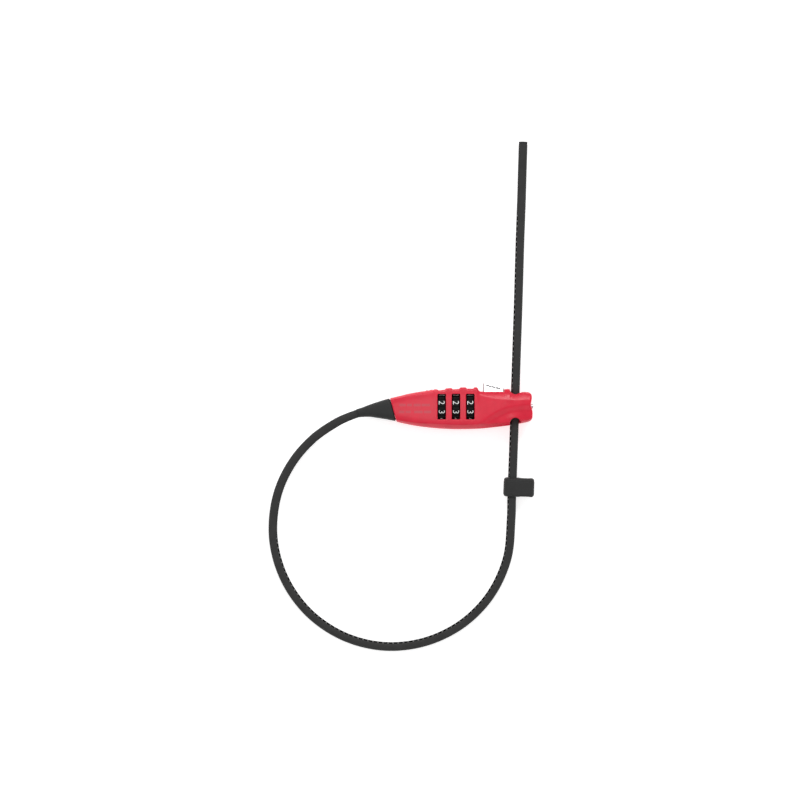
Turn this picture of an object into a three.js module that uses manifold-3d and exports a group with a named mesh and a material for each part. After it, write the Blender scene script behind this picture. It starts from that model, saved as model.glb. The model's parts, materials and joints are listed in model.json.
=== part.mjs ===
// Cable luggage lock: a three-dial lock body with a ratchet strap that leaves a rubber boot at one end,
// makes a loop and runs back up through the lock's head. The lock lies on its flat back.
// Millimetres. X runs along the lock body towards the head, Y across it towards the release lever,
// Z from the flat back to the dials. The origin is on the back, under the middle dial.
import * as THREE from "three";
import { mergeVertices } from "three/addons/utils/BufferGeometryUtils.js";
import Module from "manifold-3d";

const wasm = await Module();
wasm.setup();

// ---- driving dimensions ----
const BODY = { left: -30.2, right: 35.3, depth: 14.8, edge: 1.2, wall: 1.6 };
const SPLIT_Z = 7.4; // the two shells meet here
const SHELL_GAP = 0.05;
const DIAL = {
  pitch: 6.53,
  radius: 6.85,
  rimWidth: 3.2,
  bossRadius: 4.05,
  bossWidth: 4.4,
  bore: 3.6,
  digits: 10,
  groove: 0.35,
};
const DIAL_X = [-DIAL.pitch, 0, DIAL.pitch];
const AXIS_Z = 8.85; // the dials and the spindle turn about the line y = 0 at this height
const WINDOW = { width: 3.66, low: -5.5, high: 6.0 };
const HUB = { outer: 3.35, inner: 1.9, width: 4.4, gateDepth: 2.75, gateWidth: 1.3 };
const SPINDLE = { radius: 1.6, left: -18.8, right: 18.8, collar: 2.9, bearing: 0.3 };
const FIN = { length: 1.2, width: 0.8, top: 2.5, gap: 0.3 };
const BULKHEAD = { left: 10.9, right: 12.1 };
const BEARING_PLATE = { left: -12.2, right: -11.0 };
const FLOOR_PLATE = { low: 1.9, high: 3.1 };
const LEVER_PIVOT = { x: 20.9, y: 5.9 };
const PAWL_PIVOT = { x: 21.8, y: -3.6 };
const PIN_RADIUS = 0.7;
const PIN_CLEARANCE = 0.15;
const STRAP = { radius: 2.0, sides: 8, steps: 62 };
const CHANNEL = { left: 25.05, right: 29.6, low: 5.2, high: 9.8 };
const MOUTH = { x: 27.25, radius: 2.45, low: 7.6, leverSide: 8.65, loopSide: -7.3 };
const LEVER_SLOT = { left: 11.6, right: 22.55, low: 3.3, high: 11.5 };
const RESET = { y: 0.4, z: 7.4, radius: 1.1, barLow: 3.4, barHigh: 4.4, halfWidth: 1.3, slotHalf: 1.6 };
const SCREW_PLACES = [
  [-21.5, -5.0],
  [31.9, -4.0],
  [31.9, 4.6],
];
const SCREW = { radius: 0.75, headRadius: 1.6, headHeight: 0.9, top: 10.6, sink: 0.25 };
const BOOT_MOUTH = { x: -44.8, y: -2.8, z: 7.4 };
const CORE_ROOT = { x: -20.6, y: -0.3 }; // the steel core's inner end
const KEEPER = { x: 26.08, y: -36.7, z: 6.03, length: 8.6, thickness: 6.8, hole: 4.9 };

// The strap's route, from the free end through the head and round the loop to the boot.
const STRAP_ROUTE = [
  [31.2, 118.1, 1.95],
  [30.9, 108, 1.95],
  [30.6, 97, 1.95],
  [30.2, 86, 2.0],
  [29.8, 75, 2.35],
  [29.4, 62, 3.3],
  [29.0, 49.5, 4.65],
  [28.5, 36, 6.1],
  [28.0, 22, 7.15],
  [27.6, 10, 7.5],
  [27.3, 0, 7.5],
  [27.0, -10, 7.5],
  [26.65, -20, 7.05],
  [26.31, -30, 6.44],
  [25.96, -40, 5.83],
  [25.65, -52, 5.1],
  [23.85, -69.75, 3.9],
  [15.9, -87.0, 2.75],
  [2.55, -100.4, 2.1],
  [-14.7, -108.5, 1.95],
  [-33.65, -110.35, 1.95],
  [-52.1, -105.55, 1.95],
  [-67.9, -94.7, 2.05],
  [-79.0, -79.0, 2.5],
  [-84.1, -60.45, 3.3],
  [-82.45, -41.2, 4.4],
  [-75.8, -26.2, 5.45],
  [-65.8, -14.5, 6.3],
  [-54.7, -6.85, 6.95],
  [-49.5, -4.5, 7.25],
  [-45.08, -2.9, 7.4],
];

// ---- materials ----
const PAINT = {
  red: { color: 0xc8303f, roughness: 0.4, metalness: 0 },
  black: { color: 0x2b2b2b, roughness: 0.6, metalness: 0 },
  rubber: { color: 0x303132, roughness: 0.8, metalness: 0 },
  white: { color: 0xe9e9e9, roughness: 0.35, metalness: 0 },
  steel: { color: 0xa9abad, roughness: 0.3, metalness: 1 },
  zinc: { color: 0x8d9093, roughness: 0.45, metalness: 1 },
  nylon: { color: 0xdcd9cf, roughness: 0.55, metalness: 0 },
};

// ---- solids and meshes ----
function toSolid(geometry) {
  const bare = geometry.index ? geometry.toNonIndexed() : geometry.clone();
  bare.deleteAttribute("normal");
  bare.deleteAttribute("uv");
  const merged = mergeVertices(bare, 1e-4);
  const vertProperties = new Float32Array(merged.attributes.position.array);
  const triVerts = new Uint32Array(merged.index.array);
  return new wasm.Manifold(new wasm.Mesh({ numProp: 3, vertProperties, triVerts }));
}

function toGeometry(solid) {
  const { vertProperties, triVerts } = solid.getMesh();
  const geometry = new THREE.BufferGeometry();
  geometry.setAttribute("position", new THREE.BufferAttribute(vertProperties, 3));
  geometry.setIndex(new THREE.BufferAttribute(triVerts, 1));
  geometry.computeVertexNormals();
  return geometry;
}

function join(...solids) {
  return solids.reduce((all, solid) => all.add(solid));
}

function cut(solid, ...tools) {
  return tools.reduce((left, tool) => left.subtract(tool), solid);
}

const lock = new THREE.Group();

function addPiece(name, shape, paint) {
  const geometry = shape.isBufferGeometry ? shape : toGeometry(shape);
  const mesh = new THREE.Mesh(geometry, new THREE.MeshStandardMaterial(PAINT[paint]));
  mesh.name = name;
  lock.add(mesh);
  return mesh;
}

// A box between two opposite corners.
function block(x0, y0, z0, x1, y1, z1) {
  const geometry = new THREE.BoxGeometry(x1 - x0, y1 - y0, z1 - z0);
  geometry.translate((x0 + x1) / 2, (y0 + y1) / 2, (z0 + z1) / 2);
  return toSolid(geometry);
}

function rodX(radius, x0, x1, y, z, sides = 28) {
  const geometry = new THREE.CylinderGeometry(radius, radius, x1 - x0, sides);
  geometry.rotateZ(-Math.PI / 2);
  geometry.translate((x0 + x1) / 2, y, z);
  return toSolid(geometry);
}

function rodZ(radius, z0, z1, x, y, sides = 20) {
  const geometry = new THREE.CylinderGeometry(radius, radius, z1 - z0, sides);
  geometry.rotateX(Math.PI / 2);
  geometry.translate(x, y, (z0 + z1) / 2);
  return toSolid(geometry);
}

// A plan outline, given as [x, y] points or as a shape, from one height to another.
function plan(outline, z0, z1) {
  const drawn = outline instanceof THREE.Shape;
  const shape = drawn ? outline : new THREE.Shape(outline.map(([x, y]) => new THREE.Vector2(x, y)));
  const geometry = new THREE.ExtrudeGeometry(shape, { depth: z1 - z0, bevelEnabled: false, curveSegments: 6 });
  geometry.translate(0, 0, z0);
  return toSolid(geometry);
}

// A side outline, given as [x, z] points, from one y to another.
function side(outline, y0, y1) {
  const shape = new THREE.Shape(outline.map(([x, z]) => new THREE.Vector2(x, z)));
  const geometry = new THREE.ExtrudeGeometry(shape, { depth: y1 - y0, bevelEnabled: false });
  geometry.rotateX(Math.PI / 2);
  geometry.translate(0, y1, 0);
  return toSolid(geometry);
}

// Turns an extrusion drawn in x and y so that these become the lock's y and z, from x onwards.
function alongX(geometry, x, z = 0) {
  geometry.applyMatrix4(new THREE.Matrix4().set(0, 0, 1, x, 1, 0, 0, 0, 0, 1, 0, z, 0, 0, 0, 1));
  return toSolid(geometry);
}

// ---- the two shells ----
const ACROSS = { low: -15, high: 15 }; // further than the body reaches in y
const SCALLOP = { halfWidth: 2.3, depth: 1.1, crests: [8.3, 8.9, 9.15] };

// The body's plan: a fish shape with three finger scallops beside the dials and a ledge for the lever.
function bodyShape() {
  const shape = new THREE.Shape();
  shape.moveTo(-27.2, -6.6);
  shape.splineThru([
    new THREE.Vector2(-18, -8.65),
    new THREE.Vector2(-6.9, -9.9),
    new THREE.Vector2(3, -10.15),
    new THREE.Vector2(18.8, -9.1),
    new THREE.Vector2(31.7, -6.85),
  ]);
  shape.quadraticCurveTo(35, -6.3, 35.2, -4.3);
  shape.lineTo(BODY.right, 1);
  shape.quadraticCurveTo(35, 6.6, 31.7, 7.1);
  shape.lineTo(25.1, 8.2);
  shape.lineTo(22.7, 8.2);
  shape.lineTo(22.6, 7.2);
  shape.lineTo(11.5, 7.2);
  shape.quadraticCurveTo(10.3, 7.3, 9.4, 9.1);
  for (const dial of [2, 1, 0]) {
    const crest = SCALLOP.crests[dial];
    const x = DIAL_X[dial];
    shape.lineTo(x + SCALLOP.halfWidth, crest);
    shape.quadraticCurveTo(x, crest - SCALLOP.depth, x - SCALLOP.halfWidth, crest);
  }
  shape.quadraticCurveTo(-20, 6.7, BODY.left, 4.2);
  return shape;
}

// The body seen from the side: flat back, front face that falls away to the boot and to the head.
const BODY_SIDE = [
  [-30.6, 0.8],
  [-28, 0],
  [33.8, 0],
  [35.5, 1.6],
  [35.5, 12.2],
  [33.8, 13.6],
  [24, 14.3],
  [12, BODY.depth],
  [-12, BODY.depth],
  [-22, 13.9],
  [-30.6, 12.4],
];

const CAVITY_SIDE = [
  [-28, BODY.wall],
  [24.3, BODY.wall],
  [24.3, 12.7],
  [10, 13.2],
  [-12, 13.2],
  [-22, 12.3],
  [-28, 11.3],
];

const CAVITY_PLAN = [
  [-25.3, -5.6],
  [-18, -7.3],
  [-6.9, -8.6],
  [1.5, -8.85],
  [9.6, -8.65],
  [18.8, -7.8],
  [24.3, -7.1],
  [24.3, 5.9],
  [9.2, 5.9],
  [9.2, 7.15],
  [-9.2, 7.15],
  [-9.2, 6.6],
  [-14.3, 6.0],
  [-21.7, 4.8],
  [-27.8, 3.4],
];

// The body seen from its end, with its long front and back edges taken off.
function endOutline() {
  const { depth, edge } = BODY;
  const low = -10.2;
  const high = 9.2;
  const outline = [
    [low + edge, 0],
    [high - edge, 0],
    [high, edge],
    [high, depth - 2 * edge],
    [high - 2 * edge, depth],
    [low + 2 * edge, depth],
    [low, depth - 2 * edge],
    [low, edge],
  ];
  const shape = new THREE.Shape(outline.map(([y, z]) => new THREE.Vector2(y, z)));
  return alongX(new THREE.ExtrudeGeometry(shape, { depth: 80, bevelEnabled: false }), -40);
}

function bodyBlank() {
  const walls = side(BODY_SIDE, ACROSS.low, ACROSS.high);
  return plan(bodyShape(), 0, BODY.depth).intersect(walls).intersect(endOutline());
}

// Ribs that keep neighbouring dials apart, hollowed round the dials' bosses.
function dialRibs() {
  const halfRib = 0.9;
  const ribs = [-0.5, 0.5].map((place) => {
    const x = place * DIAL.pitch;
    return block(x - halfRib, -8.75, 1, x + halfRib, 7.4, 13.6);
  });
  const saddle = rodX(DIAL.bossRadius + 0.4, -9, 9, 0, AXIS_Z);
  const springNotch = block(-9, -8.4, 1.6, 9, -3.6, 3.4);
  return cut(join(...ribs), saddle, springNotch);
}

// Everything that is hollow in both shells.
function bodyHollows() {
  const cavity = plan(CAVITY_PLAN, 0, BODY.depth).intersect(side(CAVITY_SIDE, ACROSS.low, ACROSS.high));
  const channel = block(CHANNEL.left, ACROSS.low, CHANNEL.low, CHANNEL.right, ACROSS.high, CHANNEL.high);
  const pawlWindow = block(24.2, -2.9, 4.5, 25.2, 3.2, 9.8);
  const leverSlot = block(LEVER_SLOT.left, 5.5, LEVER_SLOT.low, LEVER_SLOT.right, 12, LEVER_SLOT.high);
  const slotLow = RESET.y - RESET.slotHalf;
  const slotHigh = RESET.y + RESET.slotHalf;
  const barSlot = block(24, slotLow, FLOOR_PLATE.high, 34, slotHigh, RESET.barHigh + 0.3);
  const resetPocket = block(30.3, slotLow, FLOOR_PLATE.high, 34, slotHigh, RESET.z + 1.8);
  const resetHole = rodX(RESET.radius + 0.3, 33.5, 36, RESET.y, RESET.z);
  const bootSocket = block(-32, -3.6, 4.1, -24, 2.2, 10.7);
  return join(cavity, channel, pawlWindow, leverSlot, barSlot, resetPocket, resetHole, bootSocket);
}

// Round-ended cut where the strap enters or leaves the head, from y out past the body's edge.
function strapMouth(y, past) {
  const { x, radius, low } = MOUTH;
  const high = BODY.depth + 1;
  const slot = block(x - radius, Math.min(y, past), low, x + radius, Math.max(y, past), high);
  return join(slot, rodZ(radius, low, high, x, y));
}

function pinHoles() {
  const hole = PIN_RADIUS + PIN_CLEARANCE;
  return [
    rodZ(hole, 1.9, 12.9, LEVER_PIVOT.x, LEVER_PIVOT.y),
    rodZ(hole, 1.9, 12.9, PAWL_PIVOT.x, PAWL_PIVOT.y),
  ];
}

function frontShell() {
  const half = block(-40, ACROSS.low, SPLIT_Z + SHELL_GAP, 40, ACROSS.high, 20);
  let shell = cut(bodyBlank(), bodyHollows());
  shell = join(shell, dialRibs().intersect(bodyBlank()));
  const [screwX, screwY] = SCREW_PLACES[0];
  shell = join(shell, rodZ(1.8, SPLIT_Z, 13, screwX, screwY));
  shell = join(shell, rodZ(1.7, 11, 13.4, PAWL_PIVOT.x, PAWL_PIVOT.y));
  for (const x of DIAL_X) {
    const halfWindow = WINDOW.width / 2;
    shell = cut(shell, block(x - halfWindow, WINDOW.low, 12.5, x + halfWindow, WINDOW.high, 16));
  }
  for (const [x, y] of SCREW_PLACES) {
    shell = cut(shell, rodZ(SCREW.radius + 0.1, 2, SCREW.top + 0.4, x, y));
  }
  shell = cut(shell, strapMouth(MOUTH.leverSide, ACROSS.high), strapMouth(MOUTH.loopSide, ACROSS.low), ...pinHoles());
  return shell.intersect(half);
}

function rearShell() {
  const half = block(-40, ACROSS.low, -1, 40, ACROSS.high, SPLIT_Z);
  let shell = cut(bodyBlank(), bodyHollows());
  shell = join(shell, dialRibs().intersect(bodyBlank()));
  const [screwX, screwY] = SCREW_PLACES[0];
  shell = join(shell, rodZ(1.8, 1, SPLIT_Z, screwX, screwY));
  for (const [x, y] of SCREW_PLACES) {
    shell = cut(shell, rodZ(SCREW.radius + 0.2, -1, 8, x, y));
    shell = cut(shell, rodZ(SCREW.headRadius + 0.2, -1, SCREW.sink + SCREW.headHeight + 0.1, x, y));
  }
  shell = cut(shell, ...pinHoles());
  return shell.intersect(half);
}

// ---- frame, bearing and fasteners ----
function mechanismFrame() {
  const floor = block(BULKHEAD.left, -6.8, FLOOR_PLATE.low, 24, 5.5, FLOOR_PLATE.high);
  const bulkhead = block(BULKHEAD.left, -6.8, FLOOR_PLATE.low, BULKHEAD.right, 5.5, 12.4);
  const spindleHole = rodX(SPINDLE.radius + SPINDLE.bearing, 10, 13, 0, AXIS_Z);
  const barHole = block(10, RESET.y - RESET.slotHalf, FLOOR_PLATE.high, 13, RESET.y + RESET.slotHalf, 4.8);
  const pinHole = rodZ(PIN_RADIUS + PIN_CLEARANCE, 1, 4, PAWL_PIVOT.x, PAWL_PIVOT.y);
  const cornerHole = block(19, 4.6, 1, 24.5, 6, 4);
  return cut(join(floor, bulkhead), spindleHole, barHole, pinHole, cornerHole);
}

function bearingPlate() {
  const plate = block(BEARING_PLATE.left, -7.4, 1.9, BEARING_PLATE.right, 5.8, 12.6);
  return cut(plate, rodX(SPINDLE.radius + SPINDLE.bearing, -13, -10, 0, AXIS_Z));
}

function caseScrew(x, y) {
  const low = SCREW.sink;
  const shank = rodZ(SCREW.radius, low + 0.1, SCREW.top, x, y, 14);
  const head = rodZ(SCREW.headRadius, low, low + SCREW.headHeight, x, y, 20);
  const slotHalf = 0.22;
  const slotLength = 1.1;
  const slot = block(x - slotLength, y - slotHalf, low - 1, x + slotLength, y + slotHalf, low + 0.5);
  const crossSlot = block(x - slotHalf, y - slotLength, low - 1, x + slotHalf, y + slotLength, low + 0.5);
  return cut(join(shank, head), slot, crossSlot);
}

// ---- dials, code hubs and their click spring ----
// The dial's rim has a shallow groove between each two digits; a groove faces forward at rest.
function dialWheel(x) {
  const { radius, groove, digits } = DIAL;
  const shape = new THREE.Shape();
  const step = (2 * Math.PI) / digits;
  const lobe = [0.08, 0.2, 0.35, 0.5, 0.65, 0.8, 0.92];
  const points = [];
  for (let digit = 0; digit < digits; digit++) {
    const start = Math.PI / 2 + digit * step;
    points.push([start, radius - groove]);
    for (const part of lobe) points.push([start + part * step, radius]);
  }
  shape.setFromPoints(points.map(([angle, r]) => new THREE.Vector2(r * Math.cos(angle), r * Math.sin(angle))));
  const rim = new THREE.ExtrudeGeometry(shape, { depth: DIAL.rimWidth, bevelEnabled: false });
  const boss = rodX(DIAL.bossRadius, x - DIAL.bossWidth / 2, x + DIAL.bossWidth / 2, 0, AXIS_Z);
  return cut(join(alongX(rim, x - DIAL.rimWidth / 2, AXIS_Z), boss), rodX(DIAL.bore, x - 4, x + 4, 0, AXIS_Z));
}

// The hub carries the code: its one gate lets the spindle's fin through.
function codeHub(x) {
  const left = x - HUB.width / 2;
  const right = x + HUB.width / 2;
  const tube = cut(rodX(HUB.outer, left, right, 0, AXIS_Z), rodX(HUB.inner, left - 1, right + 1, 0, AXIS_Z));
  const halfGate = HUB.gateWidth / 2;
  return cut(tube, block(left - 1, -halfGate, AXIS_Z, right + 1, halfGate, AXIS_Z + HUB.gateDepth));
}

// One strip with three fingers, each under a dial.
function detentSpring() {
  const halfFinger = 0.8;
  const strip = block(-8.6, -7.9, 1.7, 8.6, -6.3, 2.05);
  const outline = [
    [-6.5, 1.7],
    [-4.4, 2.45],
    [-4.1, 2.8],
    [-4.5, 2.9],
    [-6.5, 2.05],
  ];
  const fingers = DIAL_X.map((x) => {
    const shape = new THREE.Shape(outline.map(([y, z]) => new THREE.Vector2(y, z)));
    const geometry = new THREE.ExtrudeGeometry(shape, { depth: 2 * halfFinger, bevelEnabled: false });
    return alongX(geometry, x - halfFinger);
  });
  return join(strip, ...fingers);
}

// ---- spindle ----
const COLLAR = { left: 17.2, right: 18.4 };
const CLIP = { left: -18.1, right: -17.5 };

function spindle() {
  const shaft = rodX(SPINDLE.radius, SPINDLE.left, SPINDLE.right, 0, AXIS_Z);
  const collar = rodX(SPINDLE.collar, COLLAR.left, COLLAR.right, 0, AXIS_Z);
  const fins = DIAL_X.map((x) => {
    const right = x - HUB.width / 2 - FIN.gap;
    const half = FIN.width / 2;
    return block(right - FIN.length, -half, AXIS_Z + 1, right, half, AXIS_Z + FIN.top);
  });
  const ring = cut(
    rodX(SPINDLE.radius + 1, CLIP.left - 0.1, CLIP.right + 0.1, 0, AXIS_Z),
    rodX(SPINDLE.radius - 0.5, CLIP.left - 1, CLIP.right + 1, 0, AXIS_Z),
  );
  return cut(join(shaft, collar, ...fins), ring);
}

function spindleClip() {
  const disc = rodX(3, CLIP.left, CLIP.right, 0, AXIS_Z);
  const neck = rodX(SPINDLE.radius - 0.4, CLIP.left - 1, CLIP.right + 1, 0, AXIS_Z);
  const mouth = block(CLIP.left - 1, -0.9, AXIS_Z, CLIP.right + 1, 0.9, AXIS_Z + 4);
  return cut(disc, neck, mouth);
}

// Wire wound about the x axis from the origin; a mesh turns and places it.
class Helix extends THREE.Curve {
  constructor(radius, length, turns) {
    super();
    Object.assign(this, { radius, length, turns });
  }
  getPoint(t, target = new THREE.Vector3()) {
    const angle = 2 * Math.PI * this.turns * t;
    return target.set(this.length * t, this.radius * Math.cos(angle), this.radius * Math.sin(angle));
  }
}

function coilSpring({ radius, length, turns, wire }) {
  const section = new THREE.Shape();
  const sides = 6;
  for (let i = 0; i < sides; i++) {
    const angle = (2 * Math.PI * i) / sides;
    const method = i ? "lineTo" : "moveTo";
    section[method](wire * Math.cos(angle), wire * Math.sin(angle));
  }
  return new THREE.ExtrudeGeometry(section, {
    steps: Math.round(turns * 12),
    extrudePath: new Helix(radius, length, turns),
  });
}

// ---- release lever and pawl ----
const CAP = { left: 12.6, right: 22.1, low: 6.3, leftTop: 11.2, rightTop: 8.9, back: 3.6, front: 11.2 };
const LEG = { left: 15.4, right: 16.9, bottom: -1.8, low: 4.8, high: 7.0 };

function releaseLever() {
  const cap = plan(
    [
      [CAP.left, CAP.low],
      [CAP.right, CAP.low],
      [CAP.right, CAP.rightTop],
      [CAP.left, CAP.leftTop],
    ],
    CAP.back,
    CAP.front,
  );
  const barrel = rodZ(1.25, 3.9, 10.9, LEVER_PIVOT.x, LEVER_PIVOT.y, 24);
  const web = block(LEVER_PIVOT.x - 1.1, LEVER_PIVOT.y, 3.9, LEVER_PIVOT.x + 1.1, CAP.low + 0.3, 10.9);
  const leg = block(LEG.left, LEG.bottom, LEG.low, LEG.right, CAP.low + 0.3, LEG.high);
  const bore = rodZ(PIN_RADIUS + PIN_CLEARANCE, 3, 12, LEVER_PIVOT.x, LEVER_PIVOT.y);
  return cut(join(cap, barrel, web, leg), bore);
}

function pawl() {
  const arm = plan(
    [
      [15, -3.6],
      [20.4, -4.4],
      [21, -5.0],
      [22.6, -5.0],
      [23.5, -3.4],
      [25, 0.6],
      [25, 1.6],
      [24.2, 1.9],
      [22.9, -1.3],
      [20.8, -2.1],
      [15, -2.1],
    ],
    4.8,
    6.6,
  );
  const tip = plan(
    [
      [23.3, -2.6],
      [23.85, -2.5],
      [25, 0.6],
      [25, 1.6],
      [24.2, 1.9],
      [23.3, -0.3],
    ],
    4.8,
    9.4,
  );
  return cut(join(arm, tip), rodZ(PIN_RADIUS + PIN_CLEARANCE, 3, 12, PAWL_PIVOT.x, PAWL_PIVOT.y));
}

// ---- code reset ----
// A bar behind the strap channel, with a finger by the third hub and an upright under the button.
function resetSlider() {
  const low = RESET.y - RESET.halfWidth;
  const high = RESET.y + RESET.halfWidth;
  const bar = block(9.9, low, RESET.barLow, 33.7, high, RESET.barHigh);
  const finger = block(9.9, low, RESET.barLow, 10.6, high, 6.2);
  const upright = block(32.9, low, RESET.barLow, 33.7, high, RESET.z + 1.3);
  return cut(join(bar, finger, upright), rodX(1.85, 9, 11, 0, AXIS_Z));
}

// ---- boot and the strap's fixed end ----
const BOOT_SIDE = [
  [-46, BOOT_MOUTH.z - 2.1],
  [-38, BOOT_MOUTH.z - 3.6],
  [-26, BOOT_MOUTH.z - 6.4],
  [-26, BOOT_MOUTH.z + 5.2],
  [-38, BOOT_MOUTH.z + 3.4],
  [-46, BOOT_MOUTH.z + 2.1],
];

// A slim tapered boot, cut square to the strap at its mouth and slanted where it meets the shells.
function boot() {
  const taper = plan(
    [
      [-44.11, -4.73],
      [-41, -4.5],
      [-36.4, -4.9],
      [-27.55, -6.55],
      [-30.5, 4.05],
      [-36.4, 2.3],
      [-41, 0.8],
      [-45.49, -0.87],
    ],
    0,
    15,
  ).intersect(side(BOOT_SIDE, ACROSS.low, ACROSS.high));
  const neck = block(-31, -3.3, 4.4, -25.6, 1.9, 10.4);
  return cut(join(taper, neck), coreRod(1.15, 2));
}

// The steel core's line from its inner end out to the boot's mouth, longer by an extra at both ends.
function coreRod(radius, extra) {
  const from = new THREE.Vector2(CORE_ROOT.x, CORE_ROOT.y);
  const to = new THREE.Vector2(BOOT_MOUTH.x, BOOT_MOUTH.y);
  const run = to.clone().sub(from);
  const middle = from.clone().add(to).multiplyScalar(0.5);
  const geometry = new THREE.CylinderGeometry(radius, radius, run.length() + 2 * extra, 12);
  geometry.rotateZ(run.angle() - Math.PI / 2);
  geometry.translate(middle.x, middle.y, BOOT_MOUTH.z);
  return toSolid(geometry);
}

function crimpFerrule() {
  const sleeve = rodX(2.1, -25.2, -21.4, -0.55, BOOT_MOUTH.z, 6);
  return cut(sleeve, coreRod(1.05, 2));
}

// ---- strap, its tip and the keeper ----
function strapTube() {
  const section = new THREE.Shape();
  for (let i = 0; i < STRAP.sides; i++) {
    const angle = (2 * Math.PI * (i + 0.5)) / STRAP.sides;
    const method = i ? "lineTo" : "moveTo";
    section[method](STRAP.radius * Math.cos(angle), STRAP.radius * Math.sin(angle));
  }
  const route = STRAP_ROUTE.map((point) => new THREE.Vector3(...point));
  const extrudePath = new THREE.CatmullRomCurve3(route, false, "centripetal");
  return new THREE.ExtrudeGeometry(section, { steps: STRAP.steps, extrudePath });
}

// A rounded bar, centred on the origin, with its length along y.
function roundedBar(width, length, height, corner) {
  const shape = new THREE.Shape();
  const x = width / 2;
  const z = height / 2;
  shape.moveTo(-x + corner, -z);
  shape.lineTo(x - corner, -z);
  shape.absarc(x - corner, -z + corner, corner, -Math.PI / 2, 0);
  shape.lineTo(x, z - corner);
  shape.absarc(x - corner, z - corner, corner, 0, Math.PI / 2);
  shape.lineTo(-x + corner, z);
  shape.absarc(-x + corner, z - corner, corner, Math.PI / 2, Math.PI);
  shape.lineTo(-x, -z + corner);
  shape.absarc(-x + corner, -z + corner, corner, Math.PI, 1.5 * Math.PI);
  const geometry = new THREE.ExtrudeGeometry(shape, { depth: length, bevelEnabled: false, curveSegments: 4 });
  geometry.rotateX(Math.PI / 2);
  geometry.translate(0, length / 2, 0);
  return toSolid(geometry);
}

// A rubber loop with two holes: the strap runs in the left one, the tail is tucked into the right one.
function keeper() {
  const width = 14.1;
  const toMiddle = 2.95; // from the strap's line to the middle of the loop
  const holeMiddle = 5.7;
  const body = roundedBar(width, KEEPER.length, KEEPER.thickness, 2.4).translate(toMiddle, 0, 0);
  const strapHole = new THREE.CylinderGeometry(2.35, 2.35, KEEPER.length + 2, 20);
  const freeHole = roundedBar(KEEPER.hole, KEEPER.length + 2, KEEPER.hole, 0.3).translate(holeMiddle, 0, 0);
  return cut(body, toSolid(strapHole), freeHole);
}

// ---- assembly ----
addPiece("front_shell", frontShell(), "red");
addPiece("rear_shell", rearShell(), "red");
addPiece("mechanism_frame", mechanismFrame(), "zinc");
addPiece("bearing_plate", bearingPlate(), "zinc");
DIAL_X.forEach((x, i) => {
  addPiece(`dial_wheel_${i + 1}`, dialWheel(x), "black");
  addPiece(`code_hub_${i + 1}`, codeHub(x), "nylon");
});
addPiece("detent_spring", detentSpring(), "steel");
addPiece("spindle", spindle(), "zinc");
addPiece("spindle_clip", spindleClip(), "steel");

const spindleSpring = coilSpring({ radius: 2.2, length: 4.1, turns: 4, wire: 0.25 });
addPiece("spindle_spring", spindleSpring, "steel").position.set(-16.9, 0, AXIS_Z);

addPiece("release_lever", releaseLever(), "white");
addPiece("lever_pin", rodZ(PIN_RADIUS, 2.1, 12.7, LEVER_PIVOT.x, LEVER_PIVOT.y), "steel");
addPiece("pawl", pawl(), "steel");
addPiece("pawl_pin", rodZ(PIN_RADIUS, 2.1, 12.3, PAWL_PIVOT.x, PAWL_PIVOT.y), "steel");

const pawlSpring = addPiece("pawl_spring", coilSpring({ radius: 0.8, length: 3.4, turns: 5, wire: 0.18 }), "steel");
pawlSpring.rotation.z = Math.PI / 2;
pawlSpring.position.set(16.6, -7.5, 5.7);

addPiece("reset_slider", resetSlider(), "zinc");
addPiece("reset_button", rodX(RESET.radius, 33.95, 35.65, RESET.y, RESET.z), "steel");
const resetSpring = coilSpring({ radius: 1.0, length: 1.9, turns: 3, wire: 0.16 });
addPiece("reset_spring", resetSpring, "steel").position.set(30.7, RESET.y, RESET.z);

SCREW_PLACES.forEach(([x, y], i) => addPiece(`case_screw_${i + 1}`, caseScrew(x, y), "steel"));

addPiece("boot", boot(), "rubber");
addPiece("crimp_ferrule", crimpFerrule(), "steel");
addPiece("cable_core", coreRod(0.8, -0.4), "steel");

addPiece("lock_strap", strapTube(), "black");
const tipMesh = addPiece("strap_tip", roundedBar(3.8, 4, 3.7, 0.5), "black");
tipMesh.position.set(31.35, 120.4, 1.95);
tipMesh.rotation.z = THREE.MathUtils.degToRad(1.7);

const keeperMesh = addPiece("keeper", keeper(), "rubber");
keeperMesh.position.set(KEEPER.x, KEEPER.y, KEEPER.z);
keeperMesh.rotation.set(Math.atan(0.061), 0, -Math.atan(0.0344));

export default lock;
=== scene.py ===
"""Cable luggage lock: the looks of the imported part.

Shapes are worked out in millimetres, in the part's own frame, and become metres when their mesh is made.
Moulded pieces are level sets of a distance field, so their edges and hollows are rounded as moulded ones are.
"""

import json
import math

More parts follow.
